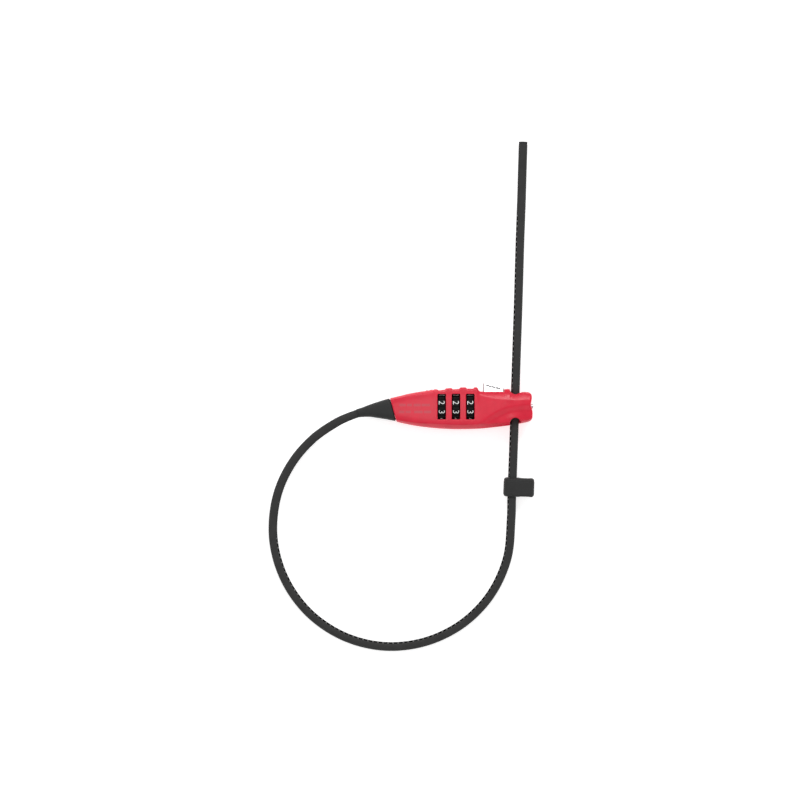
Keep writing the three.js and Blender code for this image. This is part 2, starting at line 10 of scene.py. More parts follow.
import bmesh
import bpy
import numpy as np
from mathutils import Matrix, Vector


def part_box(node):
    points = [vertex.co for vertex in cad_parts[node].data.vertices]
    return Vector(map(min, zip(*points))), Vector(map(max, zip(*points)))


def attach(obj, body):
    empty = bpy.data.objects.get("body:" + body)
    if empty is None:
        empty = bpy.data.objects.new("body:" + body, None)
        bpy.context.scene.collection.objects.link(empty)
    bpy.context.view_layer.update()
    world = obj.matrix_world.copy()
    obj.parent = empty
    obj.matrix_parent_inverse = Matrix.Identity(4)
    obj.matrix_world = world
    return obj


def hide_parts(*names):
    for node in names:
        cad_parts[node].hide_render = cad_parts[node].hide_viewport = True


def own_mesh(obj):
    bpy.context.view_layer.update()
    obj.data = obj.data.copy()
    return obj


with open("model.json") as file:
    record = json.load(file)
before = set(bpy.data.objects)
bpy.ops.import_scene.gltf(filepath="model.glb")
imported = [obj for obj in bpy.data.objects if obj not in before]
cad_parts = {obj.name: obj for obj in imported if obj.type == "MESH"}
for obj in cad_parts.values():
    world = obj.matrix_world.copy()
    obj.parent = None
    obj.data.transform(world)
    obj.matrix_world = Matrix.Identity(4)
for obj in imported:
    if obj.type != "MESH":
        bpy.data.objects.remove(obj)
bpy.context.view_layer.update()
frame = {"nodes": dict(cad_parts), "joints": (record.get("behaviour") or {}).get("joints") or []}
nodes = frame["nodes"]
joints = {joint["name"]: joint for joint in frame["joints"]}

MM = 0.001


def node_box(name):
    """A CAD node's lowest and highest corner, in millimetres."""
    low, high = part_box(name)
    return np.array(low) / MM, np.array(high) / MM


def node_middle(name):
    return sum(node_box(name)) / 2


def pivot(name):
    return np.array(joints[name]["pos_m"]) / MM


# ---- places and sizes from the frame ----
X, Y, Z = 0, 1, 2
BODY_END = max(node_box("front_shell")[1][X], node_box("rear_shell")[1][X])
SPLIT_Z = node_box("rear_shell")[1][Z]
DIAL_X = [node_middle(name)[X] for name in ("dial_wheel_1", "dial_wheel_2", "dial_wheel_3")]
DIAL_PITCH = DIAL_X[1] - DIAL_X[0]
DIAL_AXIS_Z = pivot("dial_2_turn")[Z]
DIAL_RADIUS = node_box("dial_wheel_2")[1][Y]


# ---- camera ----
VIEW_CENTRE = Vector((-25.6, 3.3, 5.0)) * MM
VIEW_WIDTH = 368 * MM
VIEW_DISTANCE = 1.6
SENSOR = 36

camera_data = bpy.data.cameras.new("camera")
camera_data.sensor_width = SENSOR
camera_data.lens = SENSOR * VIEW_DISTANCE / VIEW_WIDTH
camera = bpy.data.objects.new("camera", camera_data)
camera.location = VIEW_CENTRE + Vector((0, 0, VIEW_DISTANCE))
bpy.context.scene.collection.objects.link(camera)
bpy.context.scene.camera = camera


# ---- meshes ----
def mesh_object(name, points, faces, smooth_angle=40):
    """An object from points in millimetres and a list of faces."""
    mesh = bpy.data.meshes.new(name)
    mesh.from_pydata((np.asarray(points) * MM).tolist(), [], [tuple(face) for face in faces])
    mesh.validate()
    mesh.polygons.foreach_set("use_smooth", [True] * len(mesh.polygons))
    mesh.set_sharp_from_angle(angle=math.radians(smooth_angle))
    piece = bpy.data.objects.new(name, mesh)
    bpy.context.scene.collection.objects.link(piece)
    return piece


def finish_piece(piece, body, material, replaced=()):
    piece.data.materials.clear()
    piece.data.materials.append(material)
    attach(piece, body)
    if replaced:
        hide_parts(*replaced)
    return piece


# ---- curves through given points ----
def smooth_step(t):
    t = np.clip(t, 0, 1)
    return t * t * (3 - 2 * t)


def curve_through(points):
    """A function of x that runs smoothly through the points, without overshoot between them."""
    xs, ys = np.array(points, float).T
    gaps = np.diff(xs)
    slopes = np.diff(ys) / gaps
    tangents = np.concatenate([[slopes[0]], (slopes[:-1] + slopes[1:]) / 2, [slopes[-1]]])
    turning = slopes[:-1] * slopes[1:] <= 0
    tangents[1:-1][turning] = 0

    def value(x):
        x = np.clip(x, xs[0], xs[-1])
        i = np.clip(np.searchsorted(xs, x) - 1, 0, len(gaps) - 1)
        h = gaps[i]
        t = (x - xs[i]) / h
        first = ys[i] * (1 + 2 * t) + h * tangents[i] * t
        second = ys[i + 1] * (3 - 2 * t) + h * tangents[i + 1] * (t - 1)
        return first * (1 - t) ** 2 + second * t ** 2

    return value


# ---- distance fields ----
def round_max(a, b, radius):
    """The larger of two fields, with the edge where they meet rounded."""
    reach = np.maximum(radius - np.abs(a - b), 0) / radius
    return np.maximum(a, b) + reach * reach * radius / 4


def round_min(a, b, radius):
    return -round_max(-a, -b, radius)


def carve(field, tool, radius):
    return round_max(field, -tool, radius)


def box_field(p, low, high, corner=0.01):
    """Distance to a box with rounded edges."""
    low, high = np.array(low, float), np.array(high, float)
    middle, half = (low + high) / 2, (high - low) / 2
    q = [np.abs(p[i] - middle[i]) - half[i] + corner for i in range(3)]
    outside = np.sqrt(sum(np.maximum(side, 0) ** 2 for side in q))
    inside = np.minimum(np.maximum(np.maximum(q[0], q[1]), q[2]), 0)
    return outside + inside - corner


def rod_field(p, axis, centre, radius):
    """Distance to an endless rod along an axis."""
    u, v = [i for i in range(3) if i != axis]
    return np.hypot(p[u] - centre[u], p[v] - centre[v]) - radius


def slab_field(p, axis, low, high):
    return np.abs(p[axis] - (low + high) / 2) - (high - low) / 2


CORNERS = np.array([(i, j, k) for i in (0, 1) for j in (0, 1) for k in (0, 1)])
CELL_EDGES = [(a, b) for a in range(8) for b in range(a + 1, 8) if abs(CORNERS[a] - CORNERS[b]).sum() == 1]


def level_set(field, low, high, step):
    """Points and quads of the surface where the field is 0: one point in each cell that it crosses."""
    low, high = np.array(low, float) - 2 * step, np.array(high, float) + 2 * step
    counts = np.ceil((high - low) / step).astype(int) + 1
    axes = [low[i] + step * np.arange(counts[i]) for i in range(3)]
    values = field(np.meshgrid(*axes, indexing="ij"))
    inside = values < 0
    cells = counts - 1

    def corner(array, offset):
        return array[tuple(slice(o, o + n) for o, n in zip(offset, cells))]

    filled = sum(corner(inside, offset).astype(np.int8) for offset in CORNERS)
    crossed = np.argwhere((filled > 0) & (filled < 8))
    corner_values = np.stack([values[tuple((crossed + offset).T)] for offset in CORNERS], 1)
    total = np.zeros((len(crossed), 3))
    hits = np.zeros((len(crossed), 1))
    for a, b in CELL_EDGES:
        first, second = corner_values[:, a], corner_values[:, b]
        cut = (first < 0) != (second < 0)
        t = np.where(cut, first / np.where(cut, first - second, 1), 0)[:, None]
        total += cut[:, None] * (CORNERS[a] + (CORNERS[b] - CORNERS[a]) * t)
        hits += cut[:, None]
    points = low + step * (crossed + total / hits)
    points = settle(points, field, step)

    index = -np.ones(cells, int)
    index[tuple(crossed.T)] = np.arange(len(crossed))
    faces = []
    for axis in range(3):
        u, v = (axis + 1) % 3, (axis + 2) % 3
        span = [slice(1, n) for n in cells]
        span[axis] = slice(0, cells[axis])
        next_span = list(span)
        next_span[axis] = slice(1, cells[axis] + 1)
        here, there = inside[tuple(span)], inside[tuple(next_span)]
        for leaves, turned in ((here & ~there, False), (~here & there, True)):
            at = np.argwhere(leaves)
            at += [0 if i == axis else 1 for i in range(3)]
            ring = []
            for du, dv in ((1, 1), (0, 1), (0, 0), (1, 0)):
                cell = at.copy()
                cell[:, u] -= du
                cell[:, v] -= dv
                ring.append(index[tuple(cell.T)])
            quads = np.stack(ring, 1)
            faces.append(quads[:, ::-1] if turned else quads)
    return points, np.concatenate(faces)


SETTLE_ROUNDS = 3
LEAST_SLOPE_SQUARED = 0.05
LONGEST_MOVE = 0.4  # as a share of a cell, like the nudge
SLOPE_NUDGE = 0.05


def settle(points, field, step):
    """Moves points on to the surface along the field's slope, by less than half a cell at a time."""
    nudge = step * SLOPE_NUDGE
    for _ in range(SETTLE_ROUNDS):
        here = field(list(points.T))
        slope = np.empty_like(points)
        for axis in (X, Y, Z):
            shifted = points.copy()
            shifted[:, axis] += nudge
            slope[:, axis] = (field(list(shifted.T)) - here) / nudge
        length = np.maximum((slope ** 2).sum(1), LEAST_SLOPE_SQUARED)
        move = -slope * (here / length)[:, None]
        size = np.linalg.norm(move, axis=1, keepdims=True)
        points = points + move * np.minimum(1, LONGEST_MOVE * step / np.maximum(size, 1e-9))
    return points


# ---- materials ----
def new_material(name, base, roughness, metallic=0.0, specular=0.5, coat=0.0, coat_roughness=0.1):
    material = bpy.data.materials.new(name)
    material.use_nodes = True
    shader = material.node_tree.nodes["Principled BSDF"]
    shader.inputs["Base Color"].default_value = (*base, 1)
    shader.inputs["Roughness"].default_value = roughness
    shader.inputs["Metallic"].default_value = metallic
    shader.inputs["Specular IOR Level"].default_value = specular
    shader.inputs["Coat Weight"].default_value = coat
    shader.inputs["Coat Roughness"].default_value = coat_roughness
    return material, shader


def add_node(material, kind, **values):
    node = material.node_tree.nodes.new(kind)
    for key, value in values.items():
        if key in node.inputs:
            node.inputs[key].default_value = value
        else:
            setattr(node, key, value)
    return node


def link(material, source, target):
    material.node_tree.links.new(source, target)


PATCH_SIZE = 30  # the patches of different gloss and colour, in grains


def add_grain(
    material, shader, base, roughness, grain_size, bump, mottle=0.08, gloss_spread=0.08, stretch=(1, 1, 1),
):
    """Fine moulded grain: bump, a slight mottle of the colour and patches of different gloss."""
    grain_scale = 1 / (grain_size * MM)
    patch_scale = 1 / (PATCH_SIZE * grain_size * MM)
    place = add_node(material, "ShaderNodeTexCoord")
    scaled = add_node(material, "ShaderNodeMapping", Scale=stretch)
    link(material, place.outputs["Object"], scaled.inputs["Vector"])
    fine = add_node(material, "ShaderNodeTexNoise", Scale=grain_scale, Detail=3.0, Roughness=0.6)
    broad = add_node(material, "ShaderNodeTexNoise", Scale=patch_scale, Detail=2.0, Roughness=0.5)
    for noise in (fine, broad):
        link(material, scaled.outputs["Vector"], noise.inputs["Vector"])

    dark = [c * (1 - mottle) for c in base]
    light = [min(1, c * (1 + mottle) + 0.002) for c in base]
    colours = add_node(material, "ShaderNodeValToRGB")
    colours.color_ramp.elements[0].position = 0.3
    colours.color_ramp.elements[1].position = 0.7
    colours.color_ramp.elements[0].color = (*dark, 1)
    colours.color_ramp.elements[1].color = (*light, 1)
    link(material, broad.outputs["Fac"], colours.inputs["Fac"])
    link(material, colours.outputs["Color"], shader.inputs["Base Color"])

    gloss = add_node(material, "ShaderNodeMapRange")
    gloss.inputs["To Min"].default_value = roughness - gloss_spread
    gloss.inputs["To Max"].default_value = roughness + gloss_spread
    link(material, broad.outputs["Fac"], gloss.inputs["Value"])
    link(material, gloss.outputs["Result"], shader.inputs["Roughness"])

    relief = add_node(material, "ShaderNodeBump", Strength=1.0, Distance=bump * MM)
    link(material, fine.outputs["Fac"], relief.inputs["Height"])
    link(material, relief.outputs["Normal"], shader.inputs["Normal"])
    return colours


def plastic(name, base, roughness, grain_size=0.12, bump=0.006, specular=0.5, **extra):
    material, shader = new_material(name, base, roughness, specular=specular, **extra)
    add_grain(material, shader, base, roughness, grain_size, bump)
    return material


def metal(name, base, roughness, grain_size=0.1, bump=0.003, stretch=(1, 1, 1)):
    material, shader = new_material(name, base, roughness, metallic=1.0)
    add_grain(
        material, shader, base, roughness, grain_size, bump, mottle=0.05, gloss_spread=0.06, stretch=stretch,
    )
    return material


def math_node(material, operation, first, second):
    """A maths node between two values, each a number or another node's output."""
    node = add_node(material, "ShaderNodeMath", operation=operation)
    for socket, value in zip(node.inputs, (first, second)):
        if isinstance(value, (int, float)):
            socket.default_value = value
        else:
            link(material, value, socket)
    return node.outputs["Value"]


def within(material, value, middle, half):
    """1 where a coordinate is within half a width, in millimetres, of the middle."""
    offset = math_node(material, "SUBTRACT", value, middle * MM)
    distance = math_node(material, "ABSOLUTE", offset, 0)
    return math_node(material, "LESS_THAN", distance, half * MM)


RED = (0.75, 0.004, 0.035)
RED_ROUGHNESS = 0.34
# Rows of bars: a row's middle and half height, then each bar's middle and half length.
PRINTED_ROWS = [
    (1.0, 0.6, [(-24.4, 1.5), (-21.3, 1.1), (-17.7, 1.6), (-13.8, 1.9)]),
    (-2.15, 0.6, [(-24.8, 1.3), (-21.9, 1.2), (-17.2, 1.9), (-13.0, 1.7)]),
]
PRINT_COLOUR = (0.42, 0.10, 0.125)
PRINT_STRENGTH = 0.36
PRINT_LOWEST = 11  # the bars are on the front face, above this height


def printed_bars(material):
    """How much of the print's colour shows, over the whole shell."""
    place = add_node(material, "ShaderNodeTexCoord")
    axes = add_node(material, "ShaderNodeSeparateXYZ")
    link(material, place.outputs["Object"], axes.inputs["Vector"])
    mask = None
    for y, half_height, bars in PRINTED_ROWS:
        in_row = within(material, axes.outputs["Y"], y, half_height)
        for x, half_length in bars:
            in_bar = within(material, axes.outputs["X"], x, half_length)
            bar = math_node(material, "MULTIPLY", in_row, in_bar)
            mask = bar if mask is None else math_node(material, "MAXIMUM", mask, bar)
    in_front = math_node(material, "GREATER_THAN", axes.outputs["Z"], PRINT_LOWEST * MM)
    mask = math_node(material, "MULTIPLY", mask, in_front)
    return math_node(material, "MULTIPLY", mask, PRINT_STRENGTH)


def shell_plastic():
    """Semi-gloss red moulding, with two rows of plain printed bars beside the dials."""
    material, shader = new_material(
        "red_plastic", RED, RED_ROUGHNESS, specular=0.45, coat=0.15, coat_roughness=0.12,
    )
    colours = add_grain(material, shader, RED, RED_ROUGHNESS, grain_size=0.14, bump=0.005, mottle=0.05)
    mix = add_node(material, "ShaderNodeMix", data_type="RGBA")
    inputs = {socket.identifier: socket for socket in mix.inputs}
    outputs = {socket.identifier: socket for socket in mix.outputs}
    inputs["B_Color"].default_value = (*PRINT_COLOUR, 1)
    link(material, printed_bars(material), inputs["Factor_Float"])
    link(material, colours.outputs["Color"], inputs["A_Color"])
    link(material, outputs["Result_Color"], shader.inputs["Base Color"])
    return material


def rubber(name, base, roughness):
    return plastic(name, base, roughness, grain_size=0.18, bump=0.012, specular=0.25)


MATERIALS = {
    "red": shell_plastic(),
    "dial": plastic("dial_plastic", (0.004, 0.004, 0.004), 0.5, specular=0.12),
    "numeral": plastic("numeral_ink", (0.86, 0.86, 0.85), 0.45, bump=0.002),
    "strap": plastic(
        "strap_plastic", (0.039, 0.039, 0.039), 0.72, grain_size=0.16, bump=0.010, specular=0.18,
    ),
    # painted shade: near black inside the pockets between the teeth, where shade falls
    "pocket": plastic("strap_pocket_shade", (0.003, 0.003, 0.003), 0.9, bump=0.004, specular=0.05),
    # painted highlight: a lighter grey for the light caught on the teeth's upper edge
    "strap_tooth_highlight": plastic("strap_tooth_highlight", (0.17, 0.17, 0.168), 0.4, grain_size=0.1, bump=0.006),
    "boot": rubber("boot_rubber", (0.029, 0.030, 0.030), 0.62),
    "keeper": rubber("keeper_rubber", (0.029, 0.029, 0.029), 0.6),
    "chrome": metal("lever_chrome", (0.92, 0.925, 0.93), 0.14, bump=0.0008),
    # painted shade: grey in the lever's marks and down its left side face
    "lever_shade": plastic("lever_painted_shade", (0.42, 0.41, 0.42), 0.5, bump=0.002),
    "nylon": plastic("hub_nylon", (0.66, 0.63, 0.55), 0.5),
    "zinc": metal("cast_zinc", (0.50, 0.51, 0.53), 0.42, grain_size=0.2, bump=0.008),
    "steel": metal("plated_steel", (0.60, 0.61, 0.63), 0.26, stretch=(1, 1, 6)),
}


# ---- the strap ----
# Points on the strap's middle line, from its free end to the boot's mouth. The CAD strap has the same route.
STRAP_ROUTE = [
    (31.2, 118.1, 1.95),
    (30.9, 108, 1.95),
    (30.6, 97, 1.95),
    (30.2, 86, 2.0),
    (29.8, 75, 2.35),
    (29.4, 62, 3.3),
    (29.0, 49.5, 4.65),
    (28.5, 36, 6.1),
    (28.0, 22, 7.15),
    (27.6, 10, 7.5),
    (27.3, 0, 7.5),
    (27.0, -10, 7.5),
    (26.65, -20, 7.05),
    (26.31, -30, 6.44),
    (25.96, -40, 5.83),
    (25.65, -52, 5.1),
    (23.85, -69.75, 3.9),
    (15.9, -87.0, 2.75),
    (2.55, -100.4, 2.1),
    (-14.7, -108.5, 1.95),
    (-33.65, -110.35, 1.95),
    (-52.1, -105.55, 1.95),
    (-67.9, -94.7, 2.05),
    (-79.0, -79.0, 2.5),
    (-84.1, -60.45, 3.3),
    (-82.45, -41.2, 4.4),
    (-75.8, -26.2, 5.45),
    (-65.8, -14.5, 6.3),
    (-54.7, -6.85, 6.95),
    (-49.5, -4.5, 7.25),
    (-45.08, -2.9, 7.4),
]


def dense_route(route, per_span=40):
    """Points close together on the centripetal Catmull-Rom curve through the route."""
    p = np.array(route, float)
    p = np.vstack([2 * p[0] - p[1], p, 2 * p[-1] - p[-2]])
    out = [p[1]]
    for i in range(1, len(p) - 2):
        quad = p[i - 1:i + 3]
        gaps = np.linalg.norm(np.diff(quad, axis=0), axis=1) ** 0.5
        knots = np.concatenate([[0], np.cumsum(gaps)])
        t = np.linspace(knots[1], knots[2], per_span + 1)[1:, None]

        def blend(a, b, from_knot, to_knot):
            return (a * (to_knot - t) + b * (t - from_knot)) / (to_knot - from_knot)

        a1, a2, a3 = [blend(quad[j], quad[j + 1], knots[j], knots[j + 1]) for j in range(3)]
        b1, b2 = blend(a1, a2, knots[0], knots[2]), blend(a2, a3, knots[1], knots[3])
        out.extend(blend(b1, b2, knots[1], knots[2]))
    return np.array(out)


class Line:
    """A dense route with its length, read at any distance along it."""

    def __init__(self, points):
        self.points = points
        gaps = np.linalg.norm(np.diff(points, axis=0), axis=1)
        self.at = np.concatenate([[0], np.cumsum(gaps)])
        self.length = self.at[-1]

    def place(self, s):
        return np.stack([np.interp(s, self.at, self.points[:, i]) for i in range(3)], -1)

    def heading(self, s, reach=0.8):
        ahead = self.place(np.minimum(s + reach, self.length))
        behind = self.place(np.maximum(s - reach, 0))
        way = ahead - behind
        return way / np.linalg.norm(way, axis=-1, keepdims=True)

    def nearest(self, point):
        return self.at[np.argmin(np.linalg.norm(self.points - np.array(point), axis=1))]

    def beside(self, point):
        """A point's offset from the line: how far out towards the rack, and how far up."""
        s = self.nearest(point)
        ahead = self.heading(np.array([s]))[0]
        out = np.cross(ahead, (0, 0, 1))
        offset = np.array(point) - self.place(s)
        return offset @ out / np.linalg.norm(out), offset[2]


STRAP_RADIUS = 1.85
SQUARENESS = 2.5  # 2 is a circle, and more is squarer
RACK_HALF_ANGLE = 36  # the share of the section that the rack takes, in degrees from its middle
ROUND_SIDE_POINTS = 25
TOOTH_PITCH = 2.42
# How far along one pitch, and how much of the tooth is there: a steep back, a flat top, a ramp and a pocket.
TOOTH_STEPS = [(0.0, 0.0), (0.02, 1.0), (0.24, 1.0), (0.34, 0.0), (0.66, 0.0)]
# The rack's side of the section from the top down, as (out, up), in a pocket and on a tooth. Both end in the
# same rail, which closes the pockets below.
POCKET_SIDE = [
    (1.44, 1.05), (1.38, 1.0), (1.36, 0.9), (1.36, -0.7), (1.42, -0.8),
    (2.04, -0.8), (2.12, -0.85), (2.14, -1.0), (2.04, -1.1), (1.52, -1.1),
]
TOOTH_SIDE = [
    (1.52, 1.12), (2.0, 1.12), (2.12, 1.0), (2.14, -0.7), (2.14, -0.74),
    (2.14, -0.8), (2.14, -0.86), (2.14, -1.0), (2.04, -1.1), (1.52, -1.1),
]
TOOTH_REACH = 2.14
# The rack's two ends, as places on the route.
FIRST_TOOTH, LAST_TOOTH = (30.3, 88.4, 2.0), (-84.1, -60.45, 3.3)
RACK_GAP = 0.3  # between the rack and the plain sections before and after it
TAIL_SPACING, TAIL_CLEAR = 3.0, 1.2
LOOP_SPACING, LOOP_CLEAR = 2.5, 1
# Where the rack gets a painted highlight along its upper edge and painted shade in its pockets, measured out
# and up from the strap's middle line.
HIGHLIGHT_OUT, HIGHLIGHT_UP = 1.52, 0.8
SHADE_OUT, SHADE_UP = 1.3, (-0.9, 1.02)
SHADE_FROM = 0.3  # as a share of a pitch: a pocket starts on the ramp
EDGE_SLACK = 0.2
# Where it has no teeth the section stays a tooth's. Near the boot it narrows to the round strap.
NARROWS_FROM, NARROWS_OVER = 14, 12


def strap_section(rise):
    """The strap's section: squarish and round, with its inner side between a pocket (0) and a tooth (1)."""
    start = math.radians(RACK_HALF_ANGLE)
    angles = np.linspace(start, 2 * math.pi - start, ROUND_SIDE_POINTS)
    c, s = np.cos(angles), np.sin(angles)
    r = STRAP_RADIUS / (np.abs(c) ** SQUARENESS + np.abs(s) ** SQUARENESS) ** (1 / SQUARENESS)
    pocket, tooth = np.array(POCKET_SIDE[::-1]), np.array(TOOTH_SIDE[::-1])
    return np.concatenate([np.stack([r * c, r * s], 1), pocket + (tooth - pocket) * rise])


def loft(rings):
    """Points and faces of a closed tube through rings of points, with flat ends."""
    count = len(rings[0])
    faces = []
    for a in range(0, (len(rings) - 1) * count, count):
        b = a + count
        faces += [(a + j, a + (j + 1) % count, b + (j + 1) % count, b + j) for j in range(count)]
    faces.append(tuple(range(count))[::-1])
    faces.append(tuple(range((len(rings) - 1) * count, len(rings) * count)))
    return np.concatenate(rings), faces


def place_rings(line, at, sections):
    """Sections drawn in (out, up), set square across the line at each distance along it."""
    centre, ahead = line.place(at), line.heading(at)
    out = np.cross(ahead, (0, 0, 1))
    out /= np.linalg.norm(out, axis=1, keepdims=True)
    up = np.cross(out, ahead)
    return [c + s[:, :1] * o + s[:, 1:] * u for c, s, o, u in zip(centre, sections, out, up)]


def rack_ends(line):
    first, last = line.nearest(FIRST_TOOTH), line.nearest(LAST_TOOTH)
    teeth = int((last - first) / TOOTH_PITCH)
    return first, first + teeth * TOOTH_PITCH, teeth


def plain_stations(start, end, spacing, clear):
    """Places along the strap where it has no teeth: evenly spaced, and clear of a last one at the end."""
    return [(s, 1.0) for s in np.append(np.arange(start, end - clear, spacing), end)]


def rack_stations(first, teeth):
    return [
        (first + (tooth + part) * TOOTH_PITCH, rise)
        for tooth in range(teeth)
        for part, rise in TOOTH_STEPS
    ]


def strap_mesh(line):
    first, end, teeth = rack_ends(line)
    stations = plain_stations(0, first - RACK_GAP, TAIL_SPACING, TAIL_CLEAR)
    stations += rack_stations(first, teeth)
    stations += plain_stations(end + RACK_GAP, line.length, LOOP_SPACING, LOOP_CLEAR)
    at = np.array([s for s, _ in stations])
    sections = [strap_section(rise) for _, rise in stations]
    for s, section in zip(at, sections):
        narrowed = smooth_step((s - line.length + NARROWS_FROM) / NARROWS_OVER)
        reach = TOOTH_REACH - (TOOTH_REACH - STRAP_RADIUS) * narrowed
        section[:, 0] = np.minimum(section[:, 0], reach)
    return loft(place_rings(line, at, sections))


def paint_rack(piece, line, painted_highlight, pocket):
    """Paints a highlight, a lighter grey, along the rack's upper edge, and shade, a near-black grey, inside
    its pockets.
    """
    piece.data.materials.append(painted_highlight)
    piece.data.materials.append(pocket)
    first, end, _ = rack_ends(line)
    for face in piece.data.polygons:
        along = line.nearest(face.center / MM)
        out, up = line.beside(face.center / MM)
        in_rack = first - EDGE_SLACK < along < end
        past_tooth = (along - first) / TOOTH_PITCH % 1 > SHADE_FROM
        # painted highlight along the teeth's upper edge
        if in_rack and out > HIGHLIGHT_OUT and up > HIGHLIGHT_UP:
            face.material_index = 1
        # painted shade inside the pockets
        elif in_rack and past_tooth and out > SHADE_OUT and SHADE_UP[0] < up < SHADE_UP[1]:
            face.material_index = 2


strap_line = Line(dense_route(STRAP_ROUTE))
strap = mesh_object("toothed_strap", *strap_mesh(strap_line), smooth_angle=35)
finish_piece(strap, "lock_body", MATERIALS["strap"], ["lock_strap"])
paint_rack(strap, strap_line, MATERIALS["strap_tooth_highlight"], MATERIALS["pocket"])


# How far past the strap's free end, and how much of the strap's section: a shallow ring and a rounded end.
TIP_STEPS = [
    (0.02, 1), (2.95, 1), (3.05, 0.95), (3.3, 0.95), (3.4, 1),
    (3.98, 1), (4.12, 0.98), (4.2, 0.92), (4.22, 0.8),
]
TIP_RUN = 6  # the length of the straight line that the tip is made on


def tip_mesh():
    past = np.array([distance for distance, _ in TIP_STEPS])
    start = strap_line.points[0]
    way = start - strap_line.place(1.0)
    way[Z] = 0
    way /= np.linalg.norm(way)
    line = Line(np.array([start + way * TIP_RUN, start - way]))
    sections = [strap_section(1) * scale for _, scale in TIP_STEPS]
    return loft(place_rings(line, TIP_RUN - past, sections)[::-1])


tip = mesh_object("strap_end", *tip_mesh())
finish_piece(tip, "lock_body", MATERIALS["strap"], ["strap_tip"])


# ---- the keeper ----
# In its own axes: x across the strap, y along it, and the strap's middle line at x = z = 0.
KEEPER_PLACE = np.array([26.08, -36.7, 6.03])
KEEPER_LOW, KEEPER_HIGH = (-4.1, -4.3, -3.4), (10.0, 4.3, 3.4)
KEEPER_STEP = 0.2
FREE_LEFT, FREE_RIGHT, FREE_HALF = 3.3, 8.12, 2.42
KEEPER_STRAP_HOLE = 2.3
GROOVE_Y, GROOVE_RADIUS = 3.0, 0.25
THROUGH = 9  # half of a length that is sure to pass the keeper's ends


def keeper_axes():
    """The keeper's own x, y and z: its y runs along the strap."""
    along = np.array(joints["keeper_slide"]["axis"], float)
    along /= np.linalg.norm(along)
    across = np.cross(along, (0, 0, 1))
    across /= np.linalg.norm(across)
    return across, along, np.cross(across, along)


def keeper_field(p):
    """A rounded block with a hole for the strap, one for the free end, and a shallow groove round it."""
    left, right, half_depth = KEEPER_LOW[X], KEEPER_HIGH[X], KEEPER_HIGH[Z]
    ends = slab_field(p, Y, KEEPER_LOW[Y], KEEPER_HIGH[Y])
    prism = box_field(p, (left, -THROUGH, -half_depth), (right, THROUGH, half_depth), 2.2)
    body = round_max(prism, ends, 1.5)
    strap_hole = rod_field(p, Y, (0, 0, 0), KEEPER_STRAP_HOLE)
    free_low = (FREE_LEFT, -THROUGH, -FREE_HALF)
    free_high = (FREE_RIGHT, THROUGH, FREE_HALF)
    body = carve(body, strap_hole, 0.5)
    body = carve(body, box_field(p, free_low, free_high, 0.7), 0.6)
    groove = np.hypot(p[Y] - GROOVE_Y, prism - 0.12) - GROOVE_RADIUS
    return carve(body, groove, 0.15)


def keeper_mesh():
    points, faces = level_set(keeper_field, KEEPER_LOW, KEEPER_HIGH, KEEPER_STEP)
    axes = np.array(keeper_axes())
    return KEEPER_PLACE + points @ axes, faces


keeper = mesh_object("keeper_loop", *keeper_mesh())
finish_piece(keeper, "keeper", MATERIALS["keeper"], ["keeper"])


# ---- the body's outer form ----
top_edge = curve_through([
    (-31, 4.0), (-26, 5.15), (-21.7, 6.2), (-18, 6.9), (-14.3, 7.45), (-9.8, 8.1), (-3.27, 8.8),
    (3.25, 9.15), (9.4, 9.2), (9.8, 8.95), (10.3, 7.9), (11.0, 7.3), (12.0, 7.15), (22.2, 7.15), (22.5, 8.3),
    (24.6, 8.3), (25.0, 7.3), (31.7, 7.1), (36, 6.8),
])
bottom_edge = curve_through([
    (-31, -5.6), (-25.3, -7.2), (-18, -8.65), (-12.5, -9.35), (-6.9, -9.85), (1.5, -10.15),
    (9.6, -9.95), (18.8, -9.1), (24.3, -8.4), (29.9, -7.5), (36, -6.1),
])
crest_height = curve_through([
    (-31, 12.1), (-26, 13.0), (-20, 13.9), (-12, 14.6), (-4, 14.8), (8, 14.8), (16, 14.6),
    (24, 14.35), (31, 13.9), (36, 13.3),
])
fold_line = curve_through([
    (6, -9.8), (10, -8.4), (13, -6.8), (16.7, -4.4), (20, -2.8), (24, -1.3), (29, -0.4), (36, 0),
])
band_line = curve_through([
    (9, 7.8), (10.5, 6.2), (13.5, 5.0), (16.7, 4.2), (20.9, 3.5), (26, 3.3), (36, 3.5),
])
lower_chamfer = curve_through([(-31, 0.9), (-20, 1.5), (-6, 2.3), (9, 2.3), (20, 1.7), (36, 1.1)])
upper_chamfer = curve_through([
    (-31, 1.0), (-18, 1.3), (-9, 0.8), (-4, 0.5), (9, 0.4), (12, 0.2), (24, 0.2), (36, 0.8),
])
SCALLOP_DEPTHS = (0.6, 0.7, 0.65)
SCALLOP_HALF, SCALLOP_RAMP = 2.15, 0.8
RIB_PLACES = (-13.3, -11.4, -9.5)
RIB_HEIGHT, RIB_WIDTH = 0.22, 0.42
CROWN = 0.8
HEAD_START, HEAD_RAMP = 8, 12
FOLD_DEPTH, FOLD_WIDTH = 1.1, 2.0
BAND_START, BAND_RAMP, BAND_SLOPE = 8.5, 3, 0.3
UPPER_BAND_Y, UPPER_BAND_SLOPE = 6.1, 0.2
LIP_X, LIP_Y, LIP_HALF_LENGTH, LIP_HALF_WIDTH, LIP_HEIGHT = 27.3, -4.9, 2.7, 2.0, 0.35
JOINT_TOP, JOINT_FOOT = np.array([-30.2, 4.2]), np.array([-27.2, -6.6])


